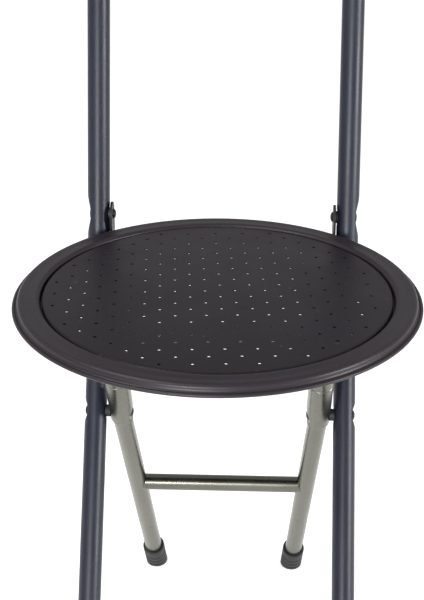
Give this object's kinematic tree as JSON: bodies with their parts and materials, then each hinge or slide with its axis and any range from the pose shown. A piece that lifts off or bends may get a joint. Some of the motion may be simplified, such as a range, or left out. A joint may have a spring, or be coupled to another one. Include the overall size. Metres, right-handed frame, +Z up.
{
  "type": "folding chair",
  "caption": "Folding metal chair with a round perforated seat, leaning tube uprights with a backrest, and crossed rear legs that close as the seat is lifted.",
  "frame": {"origin": "on the floor, midway between the seat's front edge and the rear feet's rear edges, in the chair's middle plane", "axes": "+Z up, -Y the way the sitter faces, +X to the right seen from the front"},
  "size_m": [0.33, 0.4326, 0.7996],
  "materials": {
    "frame_paint": "satin powder coat, blue-black",
    "seat_paint": "satin powder coat, warm black",
    "bright_tube": "satin silver lacquer on steel tube",
    "dark_rivet": "blackened rivet",
    "black_plastic": "moulded, fine grain"
  },
  "bodies": {
    "frame": {"left_side_tube": "frame_paint", "right_side_tube": "frame_paint", "back_hoop": "frame_paint", "backrest_panel": "frame_paint", "backrest_rivets": "dark_rivet", "front_stretcher": "frame_paint", "front_left_foot": "black_plastic", "front_right_foot": "black_plastic", "left_seat_rivet": "dark_rivet", "right_seat_rivet": "dark_rivet", "left_seat_washer": "black_plastic", "right_seat_washer": "black_plastic", "left_leg_rivet": "dark_rivet", "right_leg_rivet": "dark_rivet", "left_leg_spacer": "black_plastic", "right_leg_spacer": "black_plastic"},
    "rear_frame": {"left_rear_leg": "bright_tube", "right_rear_leg": "bright_tube", "support_yoke": "bright_tube", "rear_stretcher": "bright_tube", "rear_left_foot": "black_plastic", "rear_right_foot": "black_plastic"},
    "seat": {"seat_rim": "seat_paint", "seat_panel": "seat_paint", "left_seat_bracket": "frame_paint", "right_seat_bracket": "frame_paint", "bracket_rivets": "dark_rivet", "left_saddle_pad": "black_plastic", "right_saddle_pad": "black_plastic"}
  },
  "joints": [
    {"name": "seat_fold", "type": "hinge", "parent": "frame", "child": "seat", "pos_m": [0, 0.09366, 0.458], "axis": [-1, 0, 0], "range_deg": [0, 92]},
    {"name": "leg_fold", "type": "hinge", "parent": "frame", "child": "rear_frame", "pos_m": [0, 0.02269, 0.294], "axis": [-1, 0, 0], "range_deg": [0, 59]}
  ],
  "couplings": [
    {"joint": "leg_fold", "follows": "seat_fold", "ratio": 0.6413}
  ]
}
